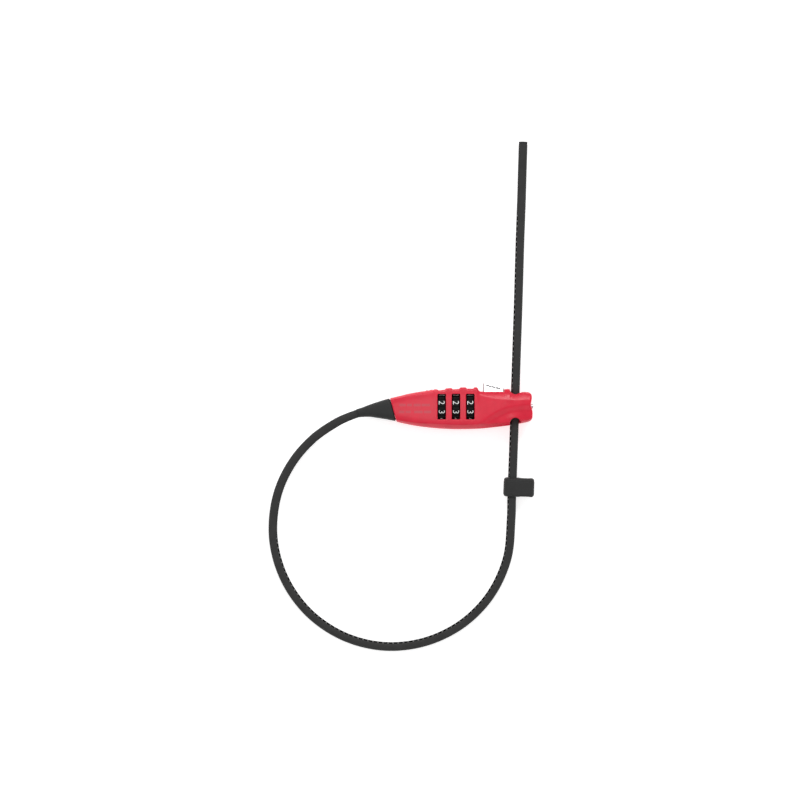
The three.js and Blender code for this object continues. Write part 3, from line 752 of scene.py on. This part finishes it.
def long_edge(x):
    """The edge with the lever: a scallop beside each dial and three small grip ribs before them."""
    y = top_edge(x)
    for dial_x, depth in zip(DIAL_X, SCALLOP_DEPTHS):
        y = y - depth * smooth_step((SCALLOP_HALF - np.abs(x - dial_x)) / SCALLOP_RAMP)
    for rib_x in RIB_PLACES:
        y = y + RIB_HEIGHT * np.exp(-((x - rib_x) / RIB_WIDTH) ** 2)
    return y


def bend(t, radius=0.25):
    """0 below zero and t above it, with a rounded corner between."""
    return np.where(np.abs(t) < radius, (t + radius) ** 2 / (4 * radius), np.maximum(t, 0))


def front_height(x, y):
    """Height of the front face: a shallow crown with chamfered edges. On the head, a band that faces the
    lever's edge, a slantwise fold below it, and a lip beside the strap's lower mouth."""
    top, bottom = top_edge(x), bottom_edge(x)
    across = (2 * y - top - bottom) / (top - bottom)
    height = crest_height(x) - CROWN * np.abs(np.clip(across, -1.2, 1.2)) ** 3
    to_head = smooth_step((x - HEAD_START) / HEAD_RAMP)
    fold_width = FOLD_WIDTH + FOLD_WIDTH * to_head
    below = 1 - smooth_step((y - fold_line(x)) / fold_width + 0.5)
    height = height - FOLD_DEPTH * to_head * below
    band = bend(y - band_line(x), 0.35) * smooth_step((x - BAND_START) / BAND_RAMP)
    upper_band = bend(y - UPPER_BAND_Y, 0.4)
    height = height - BAND_SLOPE * band - UPPER_BAND_SLOPE * upper_band * to_head
    lip = np.exp(-((x - LIP_X) / LIP_HALF_LENGTH) ** 2 - ((y - LIP_Y) / LIP_HALF_WIDTH) ** 2)
    height = height + LIP_HEIGHT * lip
    height = height - bend(lower_chamfer(x) - (y - bottom))
    return height - bend(upper_chamfer(x) - (top - y))


def joint_field(p):
    """Distance past the slanted plane where the boot meets the shells, positive on the boot's side."""
    run = JOINT_FOOT - JOINT_TOP
    normal = np.array([run[1], -run[0]]) / np.hypot(*run)
    return normal[0] * (p[0] - JOINT_TOP[0]) + normal[1] * (p[1] - JOINT_TOP[1])


END_CURVE, END_CURVE_Y = 0.012, -1
SCOOP_DEPTH, SCOOP_Y, SCOOP_HALF = 0.85, 1.1, 2.3
FRONT_ROUNDING, HEAD_FRONT_ROUNDING = 0.9, 0.35
HEAD_EDGE = (9, 11, 23, 27)  # where the sharper front edge starts, is whole, starts to end and has ended
FRONT_STEEPNESS = 0.9


def outer_field(p):
    """The body without its hollows: walls, the head's scooped end, the front face and the boot's joint."""
    x, y, z = p
    walls = round_max(y - long_edge(x), bottom_edge(x) - y, 0.5)
    scoop = SCOOP_DEPTH * np.exp(-((y - SCOOP_Y) / SCOOP_HALF) ** 2)
    end = x - (BODY_END - END_CURVE * (y - END_CURVE_Y) ** 2 - scoop)
    walls = round_max(walls, end, 1.8)
    front = (z - front_height(x, y)) * FRONT_STEEPNESS
    back_edge = round_max(walls, -z, 1.6)
    rises, risen, falls, fallen = HEAD_EDGE
    on_head = smooth_step((x - rises) / (risen - rises)) * smooth_step((fallen - x) / (fallen - falls))
    rounding = FRONT_ROUNDING - (FRONT_ROUNDING - HEAD_FRONT_ROUNDING) * on_head
    form = round_max(back_edge, front, rounding)
    return round_max(form, joint_field(p), 0.3)


# ---- the body's hollows, after the CAD shells ----
# Each box is its lowest corner, its highest corner and the rounding of its edges.
HOLLOWS = [
    ((-9.2, -8.3, 1.6), (9.2, 7.1, 13.2), 0.5),  # the dials
    ((-23.5, -6.2, 1.6), (-9, 5.6, 11.9), 0.8),  # the bearing plate, the spindle's spring and the ferrule
    ((9, -6.9, 1.6), (13, 5.9, 12.6), 0.3),  # the frame's plate beside the third dial
    ((9, -7.7, 1.6), (24.3, 5.9, 9.8), 0.5),  # the pawl and the lever's leg
    ((9, -5.2, 1.6), (24.3, 5.9, 11.5), 0.5),  # the room in front of them, clear of the fold
    ((24.0, -2.9, 4.5), (25.4, 3.2, 9.8), 0.1),  # the pawl's way to the strap
    ((-31, -3.6, 4.1), (-23, 2.2, 10.7), 0.3),  # the boot's neck
    ((24, -1.2, 3.1), (34, 2.0, 4.7), 0.1),  # the reset slider, where it passes under the strap
    ((30.3, -1.2, 3.1), (34, 2.0, 9.2), 0.1),  # the reset slider's end and its spring
]
WALL_MIN = 0.8
RIB_HALF, BOSS_ROOM = 0.9, 4.45
RIB_NOTCH = ((-9.5, -8.5, 1.4), (9.5, -3.6, 3.4))
LEVER_SLOT = ((11.6, 5.5, 3.3), (22.45, 14, 11.5), 0.25)
STRAP_CHANNEL = ((24.75, -20, 5.15), (29.75, 20, 9.85), 1.6)
MOUTH_X, MOUTH_RADIUS, MOUTH_FLOOR = 27.25, 2.45, 6.5
UPPER_MOUTH_Y, LOWER_MOUTH_Y = 8.65, -7.3
WINDOW_HALF, WINDOW_FOOT, WINDOW_TOP, WINDOW_FLOOR = 1.9, -5.55, 6.05, 12
ABOVE_BODY = 18
POST_RADIUS, POST_FOOT, POST_TOP, POST_COVER = 1.8, 1, 13, 0.5
BUTTON_BORE, BUTTON_BORE_START = 1.35, 33
SCREWS = ["case_screw_1", "case_screw_2", "case_screw_3"]
HEAD_BORE, HEAD_BORE_TOP = 1.85, 1.3
SHANK_BORE, SHANK_BORE_TOP = 0.95, 11
PIN_BORE, PIN_BORE_FOOT, PIN_BORE_TOP = 0.85, 1.9, 12.9
BORE_COVER = 0.7  # a blind bore stops this far below the outside


def hollow_field(p):
    """Everything that is hollow inside the two shells."""
    return np.minimum.reduce([box_field(p, *hollow) for hollow in HOLLOWS])


def rib_field(p):
    """Ribs between the dials, hollowed round their bosses."""
    places = (-DIAL_PITCH / 2, DIAL_PITCH / 2)
    ribs = np.minimum(*[slab_field(p, X, x - RIB_HALF, x + RIB_HALF) for x in places])
    saddle = rod_field(p, X, (0, 0, DIAL_AXIS_Z), BOSS_ROOM)
    return np.maximum(np.maximum(ribs, -saddle), -box_field(p, *RIB_NOTCH))


def mouth_field(p, y, outwards):
    """A round-ended cut in the front face over the strap; outwards is the way to the body's edge."""
    past = np.maximum(-outwards * (p[Y] - y), 0)
    across = np.hypot(p[X] - MOUTH_X, past)
    return np.maximum(across - MOUTH_RADIUS, MOUTH_FLOOR - p[Z])


def window_field(p, x):
    low = (x - WINDOW_HALF, WINDOW_FOOT, WINDOW_FLOOR)
    high = (x + WINDOW_HALF, WINDOW_TOP, ABOVE_BODY)
    return box_field(p, low, high, 0.3)


def add_post(p, field, outer):
    """A post for the screw near the boot, kept below the outside."""
    post = rod_field(p, Z, node_middle(SCREWS[0]), POST_RADIUS)
    post = np.maximum(post, slab_field(p, Z, POST_FOOT, POST_TOP))
    return np.minimum(field, np.maximum(post, outer + POST_COVER))


def cut_openings(p, field):
    """The dials' windows, the lever's slot, and the strap's channel with its two mouths."""
    for x in DIAL_X:
        field = carve(field, window_field(p, x), 0.2)
    field = carve(field, box_field(p, *LEVER_SLOT), 0.35)
    field = carve(field, box_field(p, *STRAP_CHANNEL), 0.7)
    field = carve(field, mouth_field(p, UPPER_MOUTH_Y, 1), 0.4)
    return carve(field, mouth_field(p, LOWER_MOUTH_Y, -1), 0.5)


def cut_bores(p, field, buried):
    """Bores for the reset button, the case screws and the two pivot pins."""
    button_bore = rod_field(p, X, node_middle("reset_button"), BUTTON_BORE)
    field = carve(field, np.maximum(button_bore, BUTTON_BORE_START - p[X]), 0.15)
    for name in SCREWS:
        place = node_middle(name)
        head = np.maximum(rod_field(p, Z, place, HEAD_BORE), p[Z] - HEAD_BORE_TOP)
        shank = np.maximum(rod_field(p, Z, place, SHANK_BORE), p[Z] - SHANK_BORE_TOP)
        field = carve(field, np.minimum(head, np.maximum(shank, buried)), 0.25)
    for name in ("lever_press", "pawl_swing"):
        pin = rod_field(p, Z, pivot(name), PIN_BORE)
        pin = np.maximum(pin, slab_field(p, Z, PIN_BORE_FOOT, PIN_BORE_TOP))
        field = np.maximum(field, -np.maximum(pin, buried))
    return field


def shell_field(p):
    """Both shells together, before they are split."""
    outer = outer_field(p)
    hollow = np.maximum(hollow_field(p), -rib_field(p))
    field = carve(outer, np.maximum(hollow, outer + WALL_MIN), 0.3)
    field = add_post(p, field, outer)
    field = cut_openings(p, field)
    return cut_bores(p, field, outer + BORE_COVER)


SEAM = 0.05
SEAM_ROUNDING = 0.4


def front_shell_field(p):
    return round_max(shell_field(p), SPLIT_Z + SEAM - p[Z], SEAM_ROUNDING)


def rear_shell_field(p):
    return round_max(shell_field(p), p[Z] - SPLIT_Z, SEAM_ROUNDING)


def moulding(name, field, node, step, body, material):
    """A level set in a CAD node's box, as a finished piece that stands for the node."""
    points, faces = level_set(field, *node_box(node), step)
    return finish_piece(mesh_object(name, points, faces), body, MATERIALS[material], [node])


SHELL_STEP = 0.28
REAR_SHELL_STEP = SHELL_STEP + 0.06
moulding("front_cover", front_shell_field, "front_shell", SHELL_STEP, "lock_body", "red")
moulding("rear_cover", rear_shell_field, "rear_shell", REAR_SHELL_STEP, "lock_body", "red")


# ---- the boot ----
boot_top = curve_through([
    (-46, -1.0), (-43.7, -0.35), (-40, 1.05), (-36.4, 2.3), (-31, 3.95), (-26, 5.3),
])
boot_bottom = curve_through([
    (-46, -5.0), (-43.7, -4.6), (-40, -4.45), (-36.4, -4.9), (-31, -5.75), (-26, -6.8),
])
boot_front = curve_through([(-46, 9.5), (-40, 10.35), (-34, 11.4), (-26, 12.3)])
boot_back = curve_through([(-46, 5.3), (-40, 4.2), (-34, 2.6), (-26, 0.9)])
BOOT_STEP = 0.25
# The section is nearly round at the mouth and squarer at the body.
MOUTH_SQUARENESS, SQUARENESS_GAIN, SQUARES_FROM, SQUARES_OVER = 2.3, 1.5, -44, 14
JOINT_GAP, COLLAR_GAP, COLLAR_INSET = 0.4, 0.06, 0.5
MOUTH_ANGLE = math.radians(19.7)
BOOT_MOUTH_X, BOOT_MOUTH_Y = -45.05, -2.89
NECK = ((-31, -3.3, 4.4), (-25.6, 1.9, 10.4), 0.4)
CORE_RADIUS, CORE_X, CORE_Y, CORE_Z, CORE_SLOPE = 1.1, -44.6, -2.75, 7.4, 0.1037


def boot_section(x, y, z):
    """Distance to the boot's tapered side."""
    middle_y, half_y = (boot_top(x) + boot_bottom(x)) / 2, (boot_top(x) - boot_bottom(x)) / 2
    middle_z, half_z = (boot_front(x) + boot_back(x)) / 2, (boot_front(x) - boot_back(x)) / 2
    power = MOUTH_SQUARENESS + SQUARENESS_GAIN * smooth_step((x - SQUARES_FROM) / SQUARES_OVER)
    u, v = np.abs(y - middle_y) / half_y, np.abs(z - middle_z) / half_z
    return ((u ** power + v ** power + 1e-9) ** (1 / power) - 1) * np.minimum(half_y, half_z)


def boot_field(p):
    """The taper, with a collar and a neck inside the body, cut square across the strap at its mouth."""
    x, y, z = p
    section = boot_section(x, y, z)
    outer = round_max(section, JOINT_GAP - joint_field(p), 0.3)
    collar = np.maximum(section + COLLAR_INSET, COLLAR_GAP - joint_field(p))
    body = np.minimum(outer, collar)
    mouth = -(math.cos(MOUTH_ANGLE) * (x - BOOT_MOUTH_X) + math.sin(MOUTH_ANGLE) * (y - BOOT_MOUTH_Y))
    body = round_max(body, mouth, 0.25)
    body = round_min(body, box_field(p, *NECK), 0.2)
    core = np.hypot(y - (CORE_Y + (x - CORE_X) * CORE_SLOPE), z - CORE_Z) - CORE_RADIUS
    return np.maximum(body, -core)


moulding("strain_relief_boot", boot_field, "boot", BOOT_STEP, "lock_body", "boot")


# ---- dials ----
DIGITS = 10
DIGIT_STEP = 2 * math.pi / DIGITS
FIRST_DIGIT = 2
FIRST_ANGLE = DIGIT_STEP / 2  # the first digit lies half a step above the middle of its window
NUMERAL_SINK = 0.9  # how much of a numeral's thickness stays when it is bent round the rim
RIM_INSET = 0.03  # leaves room inside the CAD dial's radius for the raised numerals
RIM_HALF, RIM_ROUNDING = 1.6, 0.55
GROOVE_DEPTH, GROOVE_HALF = 0.33, 0.34
BOSS_RADIUS, BOSS_HALF, DIAL_BORE = 4.05, 2.2, 3.6
DIAL_BLOCK = np.array([BOSS_HALF, 6.9, 6.9])  # from a dial's middle to a corner of its block
DIAL_STEP = 0.2
NUMERAL_HEIGHT, NUMERAL_RISE, NUMERAL_WIDEN = 2.9, 0.05, 1.08
FONT_PER_HEIGHT, STROKE_THINNING = 1.38, 0.03
WELD_DISTANCE, LONGEST_EDGE = 0.002, 0.45


def dial_field(p):
    """A dial about x = 0, y = 0, z = 0: a rim with a groove between each two numerals, on a boss."""
    angle = np.arctan2(p[Y], p[Z])
    radius = np.hypot(p[Y], p[Z])
    from_groove = (angle / DIGIT_STEP + 0.5) % 1 - 0.5
    arc = from_groove * DIGIT_STEP * DIAL_RADIUS
    rim_radius = DIAL_RADIUS - RIM_INSET - GROOVE_DEPTH * np.exp(-(arc / GROOVE_HALF) ** 2)
    rim = round_max(radius - rim_radius, slab_field(p, X, -RIM_HALF, RIM_HALF), RIM_ROUNDING)
    boss = round_max(radius - BOSS_RADIUS, slab_field(p, X, -BOSS_HALF, BOSS_HALF), 0.3)
    return carve(round_min(rim, boss, 0.4), radius - DIAL_BORE, 0.2)


def numeral_points(text):
    """A numeral's flat mesh in millimetres, centred: points and faces."""
    curve = bpy.data.curves.new("numeral", "FONT")
    curve.body = text
    curve.size = NUMERAL_HEIGHT * FONT_PER_HEIGHT * MM
    curve.align_x, curve.align_y = "CENTER", "CENTER"
    curve.extrude = NUMERAL_RISE * MM
    curve.offset = -STROKE_THINNING * MM
    curve.resolution_u = 4
    holder = bpy.data.objects.new("numeral", curve)
    bpy.context.scene.collection.objects.link(holder)
    bpy.context.view_layer.update()
    shape = holder.evaluated_get(bpy.context.evaluated_depsgraph_get()).to_mesh()
    work = bmesh.new()
    work.from_mesh(shape)
    bmesh.ops.remove_doubles(work, verts=work.verts, dist=WELD_DISTANCE * MM)
    bmesh.ops.triangulate(work, faces=work.faces)
    for _ in range(2):
        long_edges = [edge for edge in work.edges if edge.calc_length() > LONGEST_EDGE * MM]
        bmesh.ops.subdivide_edges(work, edges=long_edges, cuts=1)
        bmesh.ops.triangulate(work, faces=work.faces)
    points = np.array([tuple(vert.co) for vert in work.verts]) / MM
    work.verts.index_update()
    faces = [tuple(vert.index for vert in face.verts) for face in work.faces]
    work.free()
    holder.to_mesh_clear()
    bpy.data.objects.remove(holder)
    middle = (points.min(0) + points.max(0)) / 2
    return points - middle, faces


def numerals_mesh(dial_x):
    """All ten numerals, bent round the rim, their tops towards the head."""
    points, faces = [], []
    for digit, (flat, flat_faces) in enumerate(NUMERALS):
        angle = FIRST_ANGLE - (digit - FIRST_DIGIT) * DIGIT_STEP - flat[:, X] * NUMERAL_WIDEN / DIAL_RADIUS
        radius = DIAL_RADIUS - RIM_INSET + flat[:, Z] * NUMERAL_SINK
        y, z = radius * np.sin(angle), DIAL_AXIS_Z + radius * np.cos(angle)
        faces += [tuple(v + len(points) for v in face) for face in flat_faces]
        points += np.stack([dial_x + flat[:, Y], y, z], 1).tolist()
    return points, faces


NUMERALS = [numeral_points(str(digit)) for digit in range(DIGITS)]
dial_points, dial_faces = level_set(dial_field, -DIAL_BLOCK, DIAL_BLOCK, DIAL_STEP)
for number, dial_x in enumerate(DIAL_X, 1):
    dial = mesh_object(f"dial_{number}", dial_points + [dial_x, 0, DIAL_AXIS_Z], dial_faces)
    finish_piece(dial, f"dial_{number}", MATERIALS["dial"], [f"dial_wheel_{number}"])
    numerals = mesh_object(f"dial_{number}_numerals", *numerals_mesh(dial_x))
    finish_piece(numerals, f"dial_{number}", MATERIALS["numeral"])


# ---- release lever ----
LEVER_STEP = 0.17
CAP_LEFT, CAP_RIGHT, CAP_LOW, CAP_LEFT_TOP, CAP_RIGHT_TOP = 12.6, 22.1, 6.3, 11.2, 8.9
CAP_BACK, CAP_FRONT = 3.6, 11.2
CAP_SLOPE = (CAP_RIGHT_TOP - CAP_LEFT_TOP) / (CAP_RIGHT - CAP_LEFT)
MARKS = [(15.1, 0.75), (17.3, 0.55), (19.5, 0.7)]  # the middle and half length of each
MARK_BELOW_ROOF, MARK_RADIUS, MARK_FLOOR = 0.85, 0.28, 10.85
GRIP_GROOVES, FIRST_GRIP, GRIP_PITCH = 6, 14.6, 1.15
GRIP_RADIUS, GRIP_RAISED, GRIP_FRONT = 0.3, 0.02, 10.2
BARREL_RADIUS, BARREL_BACK, BARREL_FRONT = 1.25, 3.9, 10.9
WEB_HALF, WEB_TOP = 1.1, 8.2
LEG_LEFT, LEG_RIGHT, LEG_BACK, LEG_FRONT = 15.4, 16.9, 4.8, 7.0
# Which faces on the cap's left side get the painted shade.
LEFT_EDGE, LEFT_FACING = 0.35, -0.3
MARK_SLACK, MARK_FLOOR_SLACK = 0.08, 0.1


def roof_line(x):
    return CAP_LEFT_TOP + CAP_SLOPE * (x - CAP_LEFT)


def mark_field(p):
    """Three short grooves along the cap's edge, on the side that faces front."""
    x, y, _ = p
    off = y - roof_line(x) + MARK_BELOW_ROOF
    dashes = [np.hypot(np.maximum(np.abs(x - middle) - half, 0), off) for middle, half in MARKS]
    return np.minimum.reduce(dashes) - MARK_RADIUS


def cap_field(p):
    """The thumb cap: a block with a sloping top, three marks in front and grip grooves along the top."""
    x, y, z = p
    above_roof = (y - roof_line(x)) / math.hypot(1, CAP_SLOPE)
    sides = slab_field(p, X, CAP_LEFT, CAP_RIGHT)
    sides = round_max(sides, slab_field(p, Z, CAP_BACK, CAP_FRONT), 0.5)
    cap = round_max(round_max(sides, CAP_LOW - y, 0.3), above_roof, 0.6)
    cap = carve(cap, np.maximum(mark_field(p), MARK_FLOOR - z), 0.08)
    for i in range(GRIP_GROOVES):
        groove = np.hypot(x - (FIRST_GRIP + GRIP_PITCH * i), above_roof + GRIP_RAISED) - GRIP_RADIUS
        cap = carve(cap, np.maximum(groove, z - GRIP_FRONT), 0.15)
    return cap


def lever_field(p):
    """The cap with its hinge barrel, the web between them, and the leg that pushes the pawl."""
    hinge = pivot("lever_press")
    barrel = rod_field(p, Z, hinge, BARREL_RADIUS)
    barrel = np.maximum(barrel, slab_field(p, Z, BARREL_BACK, BARREL_FRONT))
    web_low = (hinge[X] - WEB_HALF, hinge[Y], BARREL_BACK)
    web_high = (hinge[X] + WEB_HALF, WEB_TOP, BARREL_FRONT)
    web = box_field(p, web_low, web_high, 0.1)
    leg_foot = node_box("release_lever")[0][Y]
    leg = box_field(p, (LEG_LEFT, leg_foot, LEG_BACK), (LEG_RIGHT, WEB_TOP, LEG_FRONT), 0.2)
    whole = round_min(cap_field(p), np.minimum(np.minimum(barrel, web), leg), 0.2)
    return np.maximum(whole, -rod_field(p, Z, hinge, PIN_BORE))


def paint_marks(piece, material):
    """Paints the cap's marks and its left side face a greyer material: painted shade for the shadow in the
    grooves and the darker reflection down the left side.
    """
    piece.data.materials.append(material)
    for face in piece.data.polygons:
        centre = face.center / MM
        in_mark = mark_field(centre) < MARK_SLACK and centre.z > MARK_FLOOR - MARK_FLOOR_SLACK
        on_left = centre.x < CAP_LEFT + LEFT_EDGE and face.normal.x < LEFT_FACING
        # painted shade in the marks and on the left side face
        if in_mark or (on_left and centre.y > CAP_LOW):
            face.material_index = 1


lever = moulding(
    "release_lever_cap", lever_field, "release_lever", LEVER_STEP, "lever", "chrome",
)
paint_marks(lever, MATERIALS["lever_shade"])


# ---- reset button ----
BUTTON_STEP = 0.1
BUTTON_RADIUS = 1.08
DIMPLE_RADIUS, DIMPLE_OUT = 1.15, 0.9


def button_field(p):
    """A short pin with a hollow in its end for a pen's point."""
    low, high = node_box("reset_button")
    middle = node_middle("reset_button")
    pin = rod_field(p, X, middle, BUTTON_RADIUS)
    pin = round_max(pin, slab_field(p, X, low[X], high[X]), 0.35)
    along = p[X] - high[X] - DIMPLE_OUT
    dimple = np.sqrt(along ** 2 + (p[Y] - middle[Y]) ** 2 + (p[Z] - middle[Z]) ** 2) - DIMPLE_RADIUS
    return carve(pin, dimple, 0.1)


moulding("reset_pin", button_field, "reset_button", BUTTON_STEP, "reset", "steel")


# ---- CAD nodes that stay, with their finishes ----
FINISHES = {
    "zinc": ["mechanism_frame", "bearing_plate", "spindle", "reset_slider"],
    "nylon": ["code_hub_1", "code_hub_2", "code_hub_3"],
    "steel": [
        "detent_spring", "spindle_clip", "spindle_spring", "lever_pin", "pawl", "pawl_pin", "pawl_spring",
        "reset_spring", "case_screw_1", "case_screw_2", "case_screw_3", "crimp_ferrule", "cable_core",
    ],
}
for finish, names in FINISHES.items():
    for name in names:
        nodes[name].data.materials.clear()
        nodes[name].data.materials.append(MATERIALS[finish])


LOW_END, HIGH_END = 0, 1


def shorten_spring(name, axis, fixed_end):
    """Gives a spring its own mesh. Its anchor at the fixed end is worked out but not used, and the spring is
    not shortened.
    """
    box = node_box(name)
    anchor = node_middle(name)
    anchor[axis] = box[fixed_end][axis]
    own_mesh(nodes[name])


shorten_spring("spindle_spring", X, HIGH_END)
shorten_spring("reset_spring", X, LOW_END)
shorten_spring("pawl_spring", Y, LOW_END)


# ---- floor and light ----
FLOOR_HALF = 3.0
FLOOR_CELLS = 8
FLOOR_HEIGHT = -0.1 * MM  # just below the part, so that no two faces share a plane
FLOOR_GLOW = 0.55
WORLD_STRENGTH = 0.5
# Each light's name, place, size and power. All of them point at the lock's body.
LIGHTS = [
    ("key", (0.05, 0.62, 0.75), (0.7, 0.3), 3.6),
    ("fill", (0.3, -0.7, 0.6), (0.5, 0.4), 0.4),
    ("overhead", (-0.36, 0.02, 2.0), (0.8, 1.1), 4.6),
]


def floor_plane():
    work = bmesh.new()
    bmesh.ops.create_grid(work, x_segments=FLOOR_CELLS, y_segments=FLOOR_CELLS, size=FLOOR_HALF)
    mesh = bpy.data.meshes.new("floor")
    work.to_mesh(mesh)
    work.free()
    floor = bpy.data.objects.new("floor", mesh)
    bpy.context.scene.collection.objects.link(floor)
    material, shader = new_material("floor_white", (0.95, 0.95, 0.95), 0.8, specular=0.1)
    shader.inputs["Emission Color"].default_value = (1, 1, 1, 1)
    shader.inputs["Emission Strength"].default_value = FLOOR_GLOW
    mesh.materials.append(material)
    floor.location.z = FLOOR_HEIGHT


def soft_light(name, place, size, power):
    data = bpy.data.lights.new(name, "AREA")
    data.shape = "RECTANGLE"
    data.size, data.size_y = size
    data.energy = power
    light = bpy.data.objects.new(name, data)
    light.location = place
    light.rotation_mode = "QUATERNION"
    light.rotation_quaternion = (-Vector(place)).to_track_quat("-Z", "Y")
    bpy.context.scene.collection.objects.link(light)


def studio():
    world = bpy.data.worlds.new("studio")
    world.use_nodes = True
    background = world.node_tree.nodes["Background"]
    background.inputs["Color"].default_value = (1, 1, 1, 1)
    background.inputs["Strength"].default_value = WORLD_STRENGTH
    bpy.context.scene.world = world
    bpy.context.scene.view_settings.view_transform = "Standard"
    for light in LIGHTS:
        soft_light(*light)


floor_plane()
studio()
